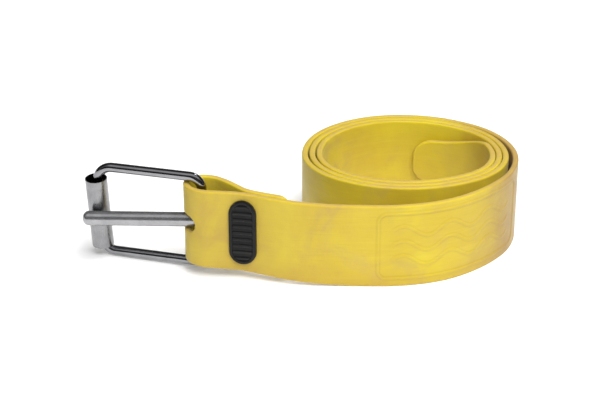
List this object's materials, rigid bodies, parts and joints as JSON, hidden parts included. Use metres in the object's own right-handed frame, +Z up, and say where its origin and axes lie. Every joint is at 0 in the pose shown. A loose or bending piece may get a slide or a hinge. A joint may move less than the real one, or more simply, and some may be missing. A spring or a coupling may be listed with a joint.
{
  "type": "dive weight belt",
  "caption": "Coiled rubber dive weight belt with a steel wire roller buckle, a pivoting tongue and a pinned fold.",
  "frame": {"origin": "middle of the footprint, on the surface that the belt stands on", "axes": "+X from the buckle towards the coil, +Y away from the front run, +Z up across the strap's width"},
  "size_m": [0.2522, 0.13, 0.0617],
  "materials": {
    "yellow_rubber": "matte moulded rubber with faint mottling",
    "polished_steel": "polished stainless steel wire",
    "satin_steel": "satin drawn tube and rod",
    "black_plastic": "fine-grained matte moulding",
    "steel_pin": "brushed, slightly dulled"
  },
  "bodies": {
    "belt": {"strap": "yellow_rubber", "keeper_plate": "black_plastic", "keeper_pins": "steel_pin", "keeper_back_plate": "black_plastic"},
    "buckle": {"buckle_frame": "polished_steel"},
    "tongue": {"tongue": "satin_steel"},
    "roller": {"roller": "satin_steel"}
  },
  "joints": [
    {"name": "buckle_swing", "type": "hinge", "parent": "belt", "child": "buckle", "pos_m": [-0.05625, -0.04477, 0.0317], "axis": [-0.041, -0.0547, 0.9977], "range_deg": [-40, 2]},
    {"name": "tongue_lift", "type": "hinge", "parent": "buckle", "child": "tongue", "pos_m": [-0.05625, -0.04477, 0.0317], "axis": [-0.041, -0.0547, 0.9977], "range_deg": [0, 10]},
    {"name": "roller_spin", "type": "hinge", "parent": "buckle", "child": "roller", "pos_m": [-0.11756, -0.02528, 0.02794], "axis": [-0.041, -0.0547, 0.9977], "continuous": true}
  ]
}
